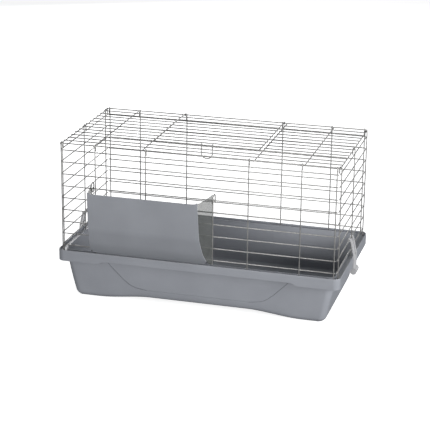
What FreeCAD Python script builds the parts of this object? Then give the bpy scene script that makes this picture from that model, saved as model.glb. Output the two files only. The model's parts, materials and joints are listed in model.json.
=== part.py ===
"""Wire rabbit cage: a plastic tray, a welded wire top with a roof door, and a hay rack.

Lengths are millimetres. X runs along the front, Y from front to rear and Z upwards. The pieces are
drawn about the middle of the tray, and each finished sub-part is then set back by tray_middle, so
that the origin is on the ground under the middle of the whole cage, its hay rack included.
"""
import FreeCAD
import Part
import Sketcher

import math
import os

SIZES = (
    ("tray_middle", "43.5", "origin back to the middle of the tray"),
    ("wire_radius", "1.5", "every welded wire"),
    ("weld_sink", "0.3", "how far one wire sinks into another at a weld"),
    ("hook_gap", "0.1", "play between a wall's hook and the roof wire under it"),
    ("hook_drop", "16", "inner leg of a wall's hook"),
    ("half_length", "398", "middle to the roof's side wires"),
    ("half_depth", "198.5", "middle to the roof's front and rear wires"),
    ("roof_height", "460", "ground to the roof's crosswires"),
    ("roof_overhang", "2", "crosswire ends past the roof's side wires"),
    ("roof_bays", "13", "gaps between the roof's crosswires"),
    ("roof_long_reach", "300", "middle to the roof's outer long wires"),
    ("opening_reach", "160", "middle to the long wires beside the door"),
    ("wall_first_drop", "19.7", "roof to the walls' first crosswire"),
    ("wall_pitch", "35.2", "between the walls' crosswires"),
    ("wall_foot", "139.5", "ground to the uprights' lower ends"),
    ("corner_gap", "2.5", "roof corner to the crosswires' ends"),
    ("end_reach", "391.5", "middle to the end uprights"),
    ("outer_reach", "295", "middle to the outer uprights"),
    ("inner_reach", "147.5", "middle to the inner uprights"),
    ("side_reach", "187", "middle to the side walls' corner uprights"),
    ("hinge_gap", "0.25", "play in an eye that turns on a wire"),
    ("door_reach", "152.5", "middle to the door's side wires"),
    ("door_front", "99.9", "middle to the door's front wire"),
    ("door_rest", "110", "middle to the tips that rest on the roof"),
    ("loop_reach", "16", "half width of the door loop"),
    ("loop_length", "40", "door's front wire to the loop's lower end"),
    ("rack_middle", "128.5", "cage middle to the rack's middle"),
    ("rack_reach", "177.5", "rack middle to its hook wires"),
    ("rack_back", "8", "front wall to the rack's hook wires"),
    ("rack_top", "350", "ground to the rack's rim"),
    ("rack_top_depth", "98", "front wall to the rack's rim"),
    ("rack_fold", "262", "ground to the start of the curve in the rack's face"),
    ("rack_fold_depth", "88", "front wall to the start of the curve"),
    ("rack_foot", "148.5", "ground to the rack's lower edge"),
    ("rack_foot_depth", "12", "front wall to the lower edge"),
    ("rack_sheet", "2.5", "thickness of the rack's face"),
    ("rack_plate", "2.4", "thickness of the rack's end plates"),
    ("rack_splay", "0.22", "how fast the rack narrows away from the wall"),
    ("rack_corner", "40", "radius of the face's lower corners"),
    ("rack_hook_reach", "11", "radius of the rack's wire hooks"),
    ("rack_hook_tail", "28", "hook crown to the end of its inner leg"),
    ("rack_ring", "6.5", "radius of the rings on the fourth crosswire"),
    ("rack_ring_wire", "1.3", "radius of the rings' wire"),
    ("rim_reach_x", "411", "middle to the rim's end faces"),
    ("rim_reach_y", "209.5", "middle to the rim's front face"),
    ("rim_top", "145", "ground to the rim's upper edge"),
    ("rim_seat", "139.5", "ground to the seat that carries the walls"),
    ("inner_lip", "143", "ground to the lip inside the walls"),
    ("rim_foot", "112", "ground to the rim's lower edge at the ends"),
    ("rim_foot_middle", "120", "ground to the lower edge in the middle"),
    ("rim_step_reach", "285", "middle to the step in the lower edge"),
    ("rim_corner", "20", "radius of the rim's corners"),
    ("tray_wall", "2.5", "thickness of the moulding"),
    ("tub_reach_x", "394", "middle to the tub's end at the rim"),
    ("tub_reach_y", "193", "middle to the tub's front at the rim"),
    ("floor_reach_x", "366", "middle to the tub's end on the ground"),
    ("floor_reach_y", "182", "middle to the tub's front on the ground"),
    ("floor_height", "13", "ground to the underside of the floor"),
    ("tub_round", "14", "radius of the tub's lower edge"),
    ("tub_corner", "20", "radius of the tub's corners at the rim"),
    ("foot_inner", "300", "middle to the inner edge of the feet on the ground"),
    ("foot_slope", "160", "how far the feet slope up towards the middle"),
    ("foot_inset", "25", "tub's edge on the ground to the hollow underneath"),
    ("panel_rise", "1.5", "how far the front panel stands proud"),
    ("clip_width", "36", "width of a clip"),
    ("clip_window", "14", "width of the window round the middle upright"),
    ("clip_play", "0.3", "play between a clip's eye and the wire"),
    ("clip_eye", "4.6", "outer radius of a clip's eye"),
    ("clip_bar", "9.5", "radius of the bar that hooks under the rim"),
)

UP = FreeCAD.Vector(0, 0, 1)
ALONG = {
    "X": FreeCAD.Rotation(FreeCAD.Vector(0, 1, 0), 90),
    "Y": FreeCAD.Rotation(FreeCAD.Vector(1, 0, 0), -90),
    "Z": FreeCAD.Rotation(),
}
WIRE = "Sizes.wire_radius"
HOOK = "(2 * Sizes.wire_radius + Sizes.hook_gap)"
EYE = "(2 * Sizes.wire_radius + Sizes.hinge_gap)"
WELD = "(2 * Sizes.wire_radius - Sizes.weld_sink)"
WALL_OUT = "(Sizes.hook_gap + Sizes.weld_sink)"
ROOF_PITCH = "(2 * Sizes.half_depth / Sizes.roof_bays)"
LONG_HEIGHT = f"(Sizes.roof_height - {WELD})"
DOOR_HEIGHT = f"(Sizes.roof_height + {EYE})"
DOOR_CROSS_HEIGHT = f"({DOOR_HEIGHT} - {WELD})"
WALL_CROSSWIRES = 9
ROOF_FRONT_BAYS = 3
RACK_CROSSWIRE = 4
CLIP_CROSSWIRE = 8

document = FreeCAD.newDocument("wire_rabbit_cage")
sheet = document.addObject("Spreadsheet::Sheet", "Sizes")
for row, (alias, number, meaning) in enumerate(SIZES, start=1):
    sheet.set(f"A{row}", alias)
    sheet.set(f"B{row}", number)
    sheet.set(f"C{row}", meaning)
    sheet.setAlias(f"B{row}", alias)
document.recompute()
nodes = {}


def size(expression):
    """The number that an expression of the sheet gives now."""
    return float(sheet.evalExpression(expression))


def place(item, position, rotation=FreeCAD.Rotation()):
    """Turn an object, and bind its position to expressions."""
    item.Placement = FreeCAD.Placement(FreeCAD.Vector(), rotation)
    for axis, expression in zip("xyz", position):
        item.setExpression(f"Placement.Base.{axis}", expression)
    return item


def node(label, members):
    """A finished sub-part, made of one solid or of several separate ones."""
    compound = document.addObject("Part::Compound", label)
    compound.Label = label
    compound.Links = members
    nodes[label] = place(compound, ("0", "Sizes.tray_middle", "0"))


def fuse(name, members):
    """One solid made of several overlapping or touching ones."""
    fused = document.addObject("Part::MultiFuse", name)
    fused.Shapes = members
    fused.Refine = True
    return fused


def rod(name, direction, length, start, radius=WIRE):
    """A straight wire from its start, along X, Y or Z."""
    wire = document.addObject("Part::Cylinder", name)
    place(wire, start, ALONG[direction])
    wire.setExpression("Radius", radius)
    wire.setExpression("Height", length)
    return wire


def bend(name, radius, turn, centre, rotation, wire=WIRE):
    """A bent wire: part of a ring, from its local X axis towards its local Y axis."""
    ring = document.addObject("Part::Torus", name)
    place(ring, centre, rotation)
    ring.setExpression("Radius1", radius)
    ring.setExpression("Radius2", wire)
    ring.Angle3 = turn
    return ring


def frame(x_axis, y_axis):
    """The rotation that turns local X and Y onto two axes."""
    x_axis = FreeCAD.Vector(*x_axis)
    y_axis = FreeCAD.Vector(*y_axis)
    return FreeCAD.Rotation(x_axis, y_axis, x_axis.cross(y_axis), "XYZ")


def crosswire_height(number):
    """The height of a wall's crosswire, counted from the top."""
    return f"(Sizes.roof_height - Sizes.wall_first_drop - {number - 1} * Sizes.wall_pitch)"


# ---- Wire walls and roof ----

def hooked_upright(name, edge_height, position, outward_angle):
    """An upright whose top is bent over a roof wire; local +X points out of the cage."""
    leg = rod(f"{name}_leg", "Z", f"{edge_height} - Sizes.wall_foot", (HOOK, "0", "Sizes.wall_foot"))
    crown = bend(f"{name}_crown", HOOK, 180, ("0", "0", edge_height), frame((1, 0, 0), (0, 0, 1)))
    tail_start = (f"-{HOOK}", "0", f"{edge_height} - Sizes.hook_drop")
    tail = rod(f"{name}_tail", "Z", "Sizes.hook_drop", tail_start)
    upright = fuse(name, [leg, crown, tail])
    return place(upright, position, FreeCAD.Rotation(UP, outward_angle))


def long_wall(label, side):
    """The front wall (side -1) or the rear wall (side 1)."""
    half = "(Sizes.half_length - Sizes.corner_gap)"
    line = f"{side} * (Sizes.half_depth + {WALL_OUT})"
    crosswires = []
    for number in range(1, WALL_CROSSWIRES + 1):
        start = (f"-{half}", line, crosswire_height(number))
        crosswires.append(rod(f"{label}_crosswire_{number}", "X", f"2 * {half}", start))
    node(f"{label}_crosswires", crosswires)
    uprights = []
    for reach in ("end", "outer", "inner"):
        for end in (-1, 1):
            name = f"{label}_{reach}_upright_{'left' if end < 0 else 'right'}"
            position = (f"{end} * Sizes.{reach}_reach", f"{side} * Sizes.half_depth", "0")
            uprights.append(hooked_upright(name, "Sizes.roof_height", position, 90 * side))
    node(f"{label}_uprights", uprights)


def short_wall(label, side):
    """The left wall (side -1) or the right wall (side 1)."""
    half = "(Sizes.half_depth - Sizes.corner_gap)"
    line = f"{side} * (Sizes.half_length + {WALL_OUT})"
    crosswires = []
    for number in range(1, WALL_CROSSWIRES + 1):
        start = (line, f"-{half}", crosswire_height(number))
        crosswires.append(rod(f"{label}_crosswire_{number}", "Y", f"2 * {half}", start))
    node(f"{label}_crosswires", crosswires)
    uprights = []
    for number, step in enumerate((-1, 0, 1), start=1):
        position = (f"{side} * Sizes.half_length", f"{step} * Sizes.side_reach", "0")
        name = f"{label}_upright_{number}"
        outward_angle = 0 if side > 0 else 180
        uprights.append(hooked_upright(name, LONG_HEIGHT, position, outward_angle))
    node(f"{label}_uprights", uprights)


def roof():
    """The roof's crosswires, cut away over the door opening, on its long wires."""
    half = "(Sizes.half_length + Sizes.roof_overhang)"
    inner = "(Sizes.opening_reach - Sizes.roof_overhang)"
    last = int(size("Sizes.roof_bays"))
    crosswires = []
    for number in range(last + 1):
        line = f"{number} * {ROOF_PITCH} - Sizes.half_depth"
        name = f"roof_crosswire_{number}"
        if number <= ROOF_FRONT_BAYS or number == last:
            start = (f"-{half}", line, "Sizes.roof_height")
            crosswires.append(rod(name, "X", f"2 * {half}", start))
            continue
        left_start = (f"-{half}", line, "Sizes.roof_height")
        right_start = (inner, line, "Sizes.roof_height")
        crosswires.append(rod(f"{name}_left", "X", f"{half} - {inner}", left_start))
        crosswires.append(rod(f"{name}_right", "X", f"{half} - {inner}", right_start))
    node("roof_crosswires", crosswires)
    long_wires = []
    for reach in ("half_length", "roof_long_reach", "opening_reach"):
        for end in (-1, 1):
            name = f"roof_{reach}_{'left' if end < 0 else 'right'}"
            start = (f"{end} * Sizes.{reach}", "-Sizes.half_depth", LONG_HEIGHT)
            long_wires.append(rod(name, "Y", "2 * Sizes.half_depth", start))
    node("roof_long_wires", long_wires)


# ---- Roof door and its loop ----

def roof_door():
    """Crosswires under two side wires, which end in eyes round the roof's rear wire."""
    half = "(Sizes.door_reach + Sizes.roof_overhang)"
    crosswires = []
    for number in range(ROOF_FRONT_BAYS + 1, int(size("Sizes.roof_bays"))):
        line = f"{number} * {ROOF_PITCH} - Sizes.half_depth"
        start = (f"-{half}", line, DOOR_CROSS_HEIGHT)
        crosswires.append(rod(f"door_crosswire_{number}", "X", f"2 * {half}", start))
    node("door_crosswires", crosswires)
    front_start = (f"-{half}", "-Sizes.door_front", DOOR_CROSS_HEIGHT)
    node("door_front_wire", [rod("door_front_rod", "X", f"2 * {half}", front_start)])
    for end, word in ((-1, "left"), (1, "right")):
        name = f"door_side_wire_{word}"
        across = f"{end} * Sizes.door_reach"
        length = "Sizes.door_rest + Sizes.half_depth"
        straight = rod(f"{name}_straight", "Y", length, (across, "-Sizes.door_rest", DOOR_HEIGHT))
        eye_centre = (across, "Sizes.half_depth", "Sizes.roof_height")
        eye = bend(f"{name}_eye", EYE, 270, eye_centre, frame((0, 0, 1), (0, 1, 0)))
        node(name, [fuse(f"{name}_bent", [straight, eye])])


def door_loop():
    """A wire U that hangs by two eyes from the door's front wire."""
    line = "-Sizes.door_front"
    turn_height = f"({DOOR_CROSS_HEIGHT} - Sizes.loop_length + Sizes.loop_reach + {WIRE})"
    pieces = []
    for end, word in ((-1, "left"), (1, "right")):
        across = f"{end} * Sizes.loop_reach"
        eye_centre = (across, line, DOOR_CROSS_HEIGHT)
        eye = bend(f"loop_eye_{word}", EYE, 360, eye_centre, frame((0, 1, 0), (0, 0, 1)))
        length = f"{DOOR_CROSS_HEIGHT} - {EYE} - {turn_height}"
        leg = rod(f"loop_leg_{word}", "Z", length, (across, line, turn_height))
        pieces.extend((eye, leg))
    turn_centre = ("0", line, turn_height)
    pieces.append(bend("loop_turn", "Sizes.loop_reach", 180, turn_centre, frame((1, 0, 0), (0, 0, -1))))
    node("door_loop", [fuse("door_loop_wire", pieces)])


# ---- Bodies made from sketches ----

def new_body(name):
    return document.addObject("PartDesign::Body", name)


def new_sketch(body, plane, name, height="0"):
    """A sketch on one of the body's own planes, raised along its normal."""
    sketch = body.newObject("Sketcher::SketchObject", name)
    support = [item for item in body.Origin.OriginFeatures if item.Role == f"{plane}_Plane"][0]
    sketch.AttachmentSupport = [(support, "")]
    sketch.MapMode = "FlatFace"
    sketch.setExpression("AttachmentOffset.Base.z", height)
    return sketch


def pin_point(sketch, element, end, point):
    """Bind one end of a sketch line to two expressions."""
    for kind, expression in zip(("DistanceX", "DistanceY"), point):
        constraint = Sketcher.Constraint(kind, -1, 1, element, end, size(expression))
        index = sketch.addConstraint(constraint)
        sketch.setExpression(f"Constraints[{index}]", expression)


def polygon(sketch, points):
    """A closed outline of straight lines through bound points."""
    corners = [FreeCAD.Vector(size(x), size(y), 0) for x, y in points]
    first = sketch.GeometryCount
    for start, end in zip(corners, corners[1:] + corners[:1]):
        sketch.addGeometry(Part.LineSegment(start, end))
    for index in range(len(points)):
        following = (index + 1) % len(points)
        joint = Sketcher.Constraint("Coincident", first + index, 2, first + following, 1)
        sketch.addConstraint(joint)
        pin_point(sketch, first + index, 1, points[index])


def round_outline(sketch, radius, centre=None):
    """A circle about the origin or another centre."""
    middle = FreeCAD.Vector(size(centre[0]), size(centre[1]), 0) if centre else FreeCAD.Vector()
    circle = sketch.addGeometry(Part.Circle(middle, UP, size(radius)))
    if centre:
        pin_point(sketch, circle, 3, centre)
    else:
        sketch.addConstraint(Sketcher.Constraint("Coincident", circle, 3, -1, 1))
    index = sketch.addConstraint(Sketcher.Constraint("Radius", circle, size(radius)))
    sketch.setExpression(f"Constraints[{index}]", radius)


def rounded_rectangle(sketch, reach_x, reach_y, radius):
    """A rectangle about the origin with four equal round corners."""
    far_x, far_y, turn = size(reach_x), size(reach_y), size(radius)
    near_x, near_y = far_x - turn, far_y - turn
    lines = (
        ((-near_x, -far_y), (near_x, -far_y)),
        ((far_x, -near_y), (far_x, near_y)),
        ((near_x, far_y), (-near_x, far_y)),
        ((-far_x, near_y), (-far_x, -near_y)),
    )
    centres = ((near_x, -near_y), (near_x, near_y), (-near_x, near_y), (-near_x, -near_y))
    for start, end in lines:
        sketch.addGeometry(Part.LineSegment(FreeCAD.Vector(*start, 0), FreeCAD.Vector(*end, 0)))
    for quarter, centre in enumerate(centres):
        circle = Part.Circle(FreeCAD.Vector(*centre, 0), UP, turn)
        start_angle = math.radians(90 * quarter - 90)
        sketch.addGeometry(Part.ArcOfCircle(circle, start_angle, start_angle + math.pi / 2))
    for side in range(4):
        arc = 4 + side
        sketch.addConstraint(Sketcher.Constraint("Tangent", side, 2, arc, 1))
        sketch.addConstraint(Sketcher.Constraint("Tangent", arc, 2, (side + 1) % 4, 1))
        sketch.addConstraint(Sketcher.Constraint("Vertical" if side % 2 else "Horizontal", side))
        if side:
            sketch.addConstraint(Sketcher.Constraint("Equal", 4, arc))
    edges = (("DistanceX", 1, reach_x), ("DistanceX", 3, f"-({reach_x})"),
             ("DistanceY", 0, f"-({reach_y})"), ("DistanceY", 2, reach_y))
    for kind, line, expression in edges:
        index = sketch.addConstraint(Sketcher.Constraint(kind, -1, 1, line, 1, size(expression)))
        sketch.setExpression(f"Constraints[{index}]", expression)
    index = sketch.addConstraint(Sketcher.Constraint("Radius", 4, turn))
    sketch.setExpression(f"Constraints[{index}]", radius)


def pad(body, sketch, length, symmetric=False, backward=False):
    """Raise a sketch into a solid, along its normal, against it or both ways."""
    feature = body.newObject("PartDesign::Pad", f"{sketch.Name}_pad")
    feature.Profile = sketch
    feature.SideType = "Symmetric" if symmetric else "One side"
    feature.Reversed = backward
    feature.setExpression("Length", length)
    return feature


def pocket(body, sketch, length, symmetric=False, backward=False):
    """Cut a sketch out of the body, and make sure that the cut removes something."""
    document.recompute()
    before = body.Shape.Volume
    feature = body.newObject("PartDesign::Pocket", f"{sketch.Name}_pocket")
    feature.Profile = sketch
    feature.SideType = "Symmetric" if symmetric else "One side"
    feature.Reversed = backward
    feature.setExpression("Length", length)
    document.recompute()
    if body.Shape.Volume >= before:
        raise RuntimeError(f"{feature.Name} cuts nothing")
    return feature


def round_edges(body, radius, points, tolerance=0.8):
    """Fillet the edges of the body's tip whose middle projects onto a listed (X, Z) point."""
    document.recompute()
    tip = body.Tip
    names = []
    for index, edge in enumerate(tip.Shape.Edges, start=1):
        middle = edge.CenterOfMass
        for x, z in points:
            if abs(middle.x - x) < tolerance and abs(middle.z - z) < tolerance:
                names.append(f"Edge{index}")
    if len(names) != len(points):
        raise RuntimeError(f"{body.Name}: {len(names)} edges for {len(points)} points")
    fillet = body.newObject("PartDesign::Fillet", f"{tip.Name}_round")
    fillet.Base = (tip, names)
    fillet.setExpression("Radius", radius)
    document.recompute()
    return fillet


def round_edges_on_ground(body, radius):
    """Fillet the edges of the body's tip that lie on the ground."""
    document.recompute()
    tip = body.Tip
    names = [f"Edge{index}" for index, edge in enumerate(tip.Shape.Edges, start=1)
             if edge.BoundBox.ZMax < 0.1]
    if not names:
        raise RuntimeError(f"{body.Name} has no edge on the ground")
    fillet = body.newObject("PartDesign::Fillet", f"{tip.Name}_round")
    fillet.Base = (tip, names)
    fillet.setExpression("Radius", radius)
    document.recompute()
    return fillet


# ---- Tray ----

def tub_loft(body, kind, name, sections):
    """A tapered tub between rounded rectangles: reach in X, reach in Y, corner, height."""
    sketches = []
    for number, (reach_x, reach_y, radius, height) in enumerate(sections):
        sketch = new_sketch(body, "XY", f"{name}_section_{number}", height)
        rounded_rectangle(sketch, reach_x, reach_y, radius)
        sketches.append(sketch)
    loft = body.newObject(f"PartDesign::{kind}Loft", name)
    loft.Profile = sketches[0]
    loft.Sections = sketches[1:]
    return loft


def tub_reach(axis, height):
    """Middle to the tub's tapered outside at some height."""
    widening = f"(Sizes.tub_reach_{axis} - Sizes.floor_reach_{axis})"
    return f"Sizes.floor_reach_{axis} + {widening} * {height} / Sizes.inner_lip"


def tub_sections(grow, grow_front, base, top):
    """Lower and upper sections of the tub, grown outwards by some length."""
    corner = f"Sizes.tub_corner + {grow}"
    sections = []
    for height in (base, top):
        reach_x = f"{tub_reach('x', height)} + {grow}"
        reach_y = f"{tub_reach('y', height)} + {grow_front}"
        sections.append((reach_x, reach_y, corner, height))
    return sections


def tray_shell():
    """One moulding: rim with a seat for the walls, tapered tub, feet, raised front panel."""
    body = new_body("tray_body")
    block = new_sketch(body, "XY", "rim_block", "Sizes.rim_foot")
    rounded_rectangle(block, "Sizes.rim_reach_x", "Sizes.rim_reach_y", "Sizes.rim_corner")
    pad(body, block, "Sizes.rim_top - Sizes.rim_foot")
    inner = ("Sizes.rim_reach_x - Sizes.tray_wall", "Sizes.rim_reach_y - Sizes.tray_wall",
             "Sizes.rim_corner - Sizes.tray_wall")
    seat = new_sketch(body, "XY", "rim_seat_cut", "Sizes.rim_seat")
    rounded_rectangle(seat, *inner)
    pocket(body, seat, "Sizes.rim_top - Sizes.rim_seat", backward=True)
    hollow = new_sketch(body, "XY", "rim_hollow", "Sizes.rim_foot")
    rounded_rectangle(hollow, *inner)
    depth = "Sizes.rim_seat - Sizes.rim_foot - Sizes.tray_wall"
    pocket(body, hollow, depth, backward=True)
    step = new_sketch(body, "XZ", "rim_step")
    polygon(step, (("-Sizes.rim_step_reach", "Sizes.rim_foot - 1"),
                   ("Sizes.rim_step_reach", "Sizes.rim_foot - 1"),
                   ("Sizes.rim_step_reach - 8", "Sizes.rim_foot_middle"),
                   ("8 - Sizes.rim_step_reach", "Sizes.rim_foot_middle")))
    pocket(body, step, "2 * Sizes.rim_reach_y + 10", symmetric=True)
    tub_loft(body, "Additive", "tub", tub_sections("0", "0", "0", "Sizes.inner_lip"))
    round_edges_on_ground(body, "Sizes.tub_round")
    arch = new_sketch(body, "XZ", "underside_arch")
    shares = ((0, 0), (0.25, 0.11), (0.5, 0.5), (0.75, 0.89), (1, 1))
    right = [("Sizes.foot_inner", "-1")]
    for along, up in shares:
        right.append((f"Sizes.foot_inner - {along} * Sizes.foot_slope", f"{up} * Sizes.floor_height"))
    left = [(f"-({x})", height) for x, height in reversed(right)]
    polygon(arch, right + left)
    pocket(body, arch, "2 * Sizes.rim_reach_y", symmetric=True)
    cavity = tub_sections("-Sizes.tray_wall", "-Sizes.tray_wall",
                          "(Sizes.floor_height + Sizes.tray_wall)", "Sizes.inner_lip")
    tub_loft(body, "Subtractive", "tub_cavity", cavity)
    hollow = new_sketch(body, "XZ", "underside_hollow")
    end = "(Sizes.floor_reach_x - Sizes.foot_inset)"
    top = "Sizes.floor_height - 0.5"
    polygon(hollow, ((f"-{end}", "-1"), (end, "-1"), (end, top), (f"-{end}", top)))
    pocket(body, hollow, "2 * (Sizes.floor_reach_y - Sizes.foot_inset)", symmetric=True)
    node("tray_shell", [fuse("tray_moulding", [body, front_panel()])])


def front_panel():
    """The raised panel on the tray's front: the wall, thicker inside a bowl-shaped outline."""
    skin = new_body("panel_skin")
    outer = tub_sections("0", "Sizes.panel_rise", "0", "Sizes.inner_lip")
    tub_loft(skin, "Additive", "panel_outer", outer)
    tub_loft(skin, "Subtractive", "panel_inner", tub_sections("-1", "-1", "0", "Sizes.inner_lip"))
    outline = new_body("panel_outline")
    sketch = new_sketch(outline, "XZ", "panel_line")
    right = (("150", "41"), ("188", "48"), ("213", "64"), ("249", "99"), ("262", "113"), ("271", "128"))
    left = tuple((f"-{x}", height) for x, height in reversed(right))
    polygon(sketch, right + left)
    pad(outline, sketch, "Sizes.rim_reach_y + 1")
    panel = document.addObject("Part::Common", "front_panel")
    panel.Base = skin
    panel.Tool = outline
    return panel


# ---- Hay rack on the fourth crosswire of the front wall ----

# The curve from the rack's face to its foot: shares of its depth and of its rise.
RACK_BEND = (
    (1, 1), (0.96, 0.84), (0.87, 0.68), (0.68, 0.41),
    (0.47, 0.22), (0.26, 0.09), (0.1, 0.02), (0, 0),
)


def rack_line(depth):
    """The Y position at some depth in front of the wall."""
    return f"-(Sizes.half_depth + {depth})"


def rack_curve(inset):
    """The face's line from its rim down to its foot, some way inside its outer surface."""
    across = "(Sizes.rack_fold_depth - Sizes.rack_foot_depth)"
    rise = "(Sizes.rack_fold - Sizes.rack_foot)"
    points = [("Sizes.rack_top_depth", "Sizes.rack_top")]
    for share, lift in RACK_BEND:
        points.append((f"Sizes.rack_foot_depth + {share} * {across}", f"Sizes.rack_foot + {lift} * {rise}"))
    moved = []
    for index, (depth, height) in enumerate(points):
        before, after = points[max(index - 1, 0)], points[min(index + 1, len(points) - 1)]
        back, drop = size(before[0]) - size(after[0]), size(before[1]) - size(after[1])
        length = math.hypot(back, drop)
        lifted = f"{height} + {back / length:.4f} * {inset}" if index else height
        moved.append((f"{depth} - {drop / length:.4f} * {inset}", lifted))
    return moved


def rack_face():
    """The opaque face: a folded sheet, cut to the splay of the end plates."""
    sheet_body = new_body("rack_sheet_body")
    profile = new_sketch(sheet_body, "YZ", "rack_profile")
    outer = rack_curve("0") + [("Sizes.rack_back + 2", "Sizes.rack_foot")]
    inner = rack_curve("Sizes.rack_sheet") + [("Sizes.rack_back + 2", "Sizes.rack_foot + Sizes.rack_sheet")]
    outline = [(rack_line(f"({depth})"), height) for depth, height in outer + inner[::-1]]
    polygon(profile, outline)
    pad(sheet_body, profile, "2 * Sizes.rack_reach + 10", symmetric=True)
    plan = new_body("rack_plan_body")
    plan_sketch = new_sketch(plan, "XY", "rack_plan")
    reach_back = "Sizes.rack_reach"
    reach_front = "(Sizes.rack_reach - Sizes.rack_splay * (Sizes.rack_top_depth + 5 - Sizes.rack_back))"
    back = rack_line("Sizes.rack_back")
    front = rack_line("(Sizes.rack_top_depth + 5)")
    polygon(plan_sketch, ((f"-{reach_back}", back), (f"-{reach_front}", front),
                          (reach_front, front), (reach_back, back)))
    pad(plan, plan_sketch, "Sizes.rack_top + 1")
    outline = new_body("rack_outline_body")
    outline_sketch = new_sketch(outline, "XZ", "rack_outline")
    side = "Sizes.rack_reach - 2"
    polygon(outline_sketch, ((f"-({side})", "Sizes.rack_foot"), (side, "Sizes.rack_foot"),
                             (side, "Sizes.rack_top"), (f"-({side})", "Sizes.rack_top")))
    pad(outline, outline_sketch, "Sizes.half_depth + Sizes.rack_top_depth + 10")
    corner_x = size(side)
    corner_z = size("Sizes.rack_foot")
    round_edges(outline, "Sizes.rack_corner", ((-corner_x, corner_z), (corner_x, corner_z)))
    face = document.addObject("Part::MultiCommon", "rack_face_sheet")
    face.Shapes = [sheet_body, plan, outline]
    node("rack_face", [place(face, ("-Sizes.rack_middle", "0", "0"))])


def rack_end_plate(word, end):
    """A smoked end plate between the face and a hook wire."""
    body = new_body(f"rack_end_{word}_body")
    splay = math.atan(size("Sizes.rack_splay"))
    cosine = math.cos(splay)

    def reach(depth):
        return f"({depth} - Sizes.rack_back) / {cosine:.6f}"

    sketch = new_sketch(body, "XZ", f"rack_end_{word}_outline")
    start = "Sizes.wire_radius - 0.2"
    inset = "(Sizes.rack_sheet - 0.1)"
    curve = [(reach(depth), height) for depth, height in rack_curve(inset)]
    foot = [(start, f"Sizes.rack_foot + {inset}")]
    polygon(sketch, curve + foot + [(start, "Sizes.rack_top - 4")])
    pad(body, sketch, "Sizes.rack_plate", backward=end < 0)
    angle = -90 - end * math.degrees(splay)
    position = (f"{end} * Sizes.rack_reach - Sizes.rack_middle", rack_line("Sizes.rack_back"), "0")
    node(f"rack_end_{word}", [place(body, position, FreeCAD.Rotation(UP, angle))])


def rack_hook(word, end):
    """A wire down the rack's rear edge, hooked over the fourth crosswire's place in the wall."""
    crown_height = "(Sizes.rack_top - Sizes.rack_hook_reach + 1)"
    across = f"{end} * Sizes.rack_reach - Sizes.rack_middle"
    outer = rack_line("Sizes.rack_back")
    name = f"rack_hook_{word}"
    leg_length = f"{crown_height} - Sizes.rack_foot"
    leg = rod(f"{name}_leg", "Z", leg_length, (across, outer, "Sizes.rack_foot"))
    centre_line = f"({outer} + Sizes.rack_hook_reach)"
    crown_centre = (across, centre_line, crown_height)
    crown = bend(f"{name}_crown", "Sizes.rack_hook_reach", 180, crown_centre, frame((0, -1, 0), (0, 0, 1)))
    tail_length = "(Sizes.rack_hook_tail - Sizes.rack_hook_reach)"
    tail_start = (across, f"{centre_line} + Sizes.rack_hook_reach", f"{crown_height} - {tail_length}")
    tail = rod(f"{name}_tail", "Z", tail_length, tail_start)
    node(name, [fuse(f"{name}_wire", [leg, crown, tail])])


def rack_rings():
    """Two rings that hang from the fourth crosswire and carry the hook wires."""
    rings = []
    hang = "(Sizes.rack_ring - Sizes.rack_ring_wire - Sizes.wire_radius - Sizes.hook_gap)"
    for end, word in ((-1, "left"), (1, "right")):
        inset = "(Sizes.wire_radius + Sizes.rack_ring_wire - 0.2)"
        across = f"{end} * (Sizes.rack_reach - {inset}) - Sizes.rack_middle"
        ring_height = f"{crosswire_height(RACK_CROSSWIRE)} - {hang}"
        centre = (across, f"-(Sizes.half_depth + {WALL_OUT})", ring_height)
        turned = frame((0, 1, 0), (0, 0, 1))
        ring = bend(f"rack_ring_{word}", "Sizes.rack_ring", 360, centre, turned, "Sizes.rack_ring_wire")
        rings.append(ring)
    node("rack_rings", rings)


# ---- Side clips ----

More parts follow.
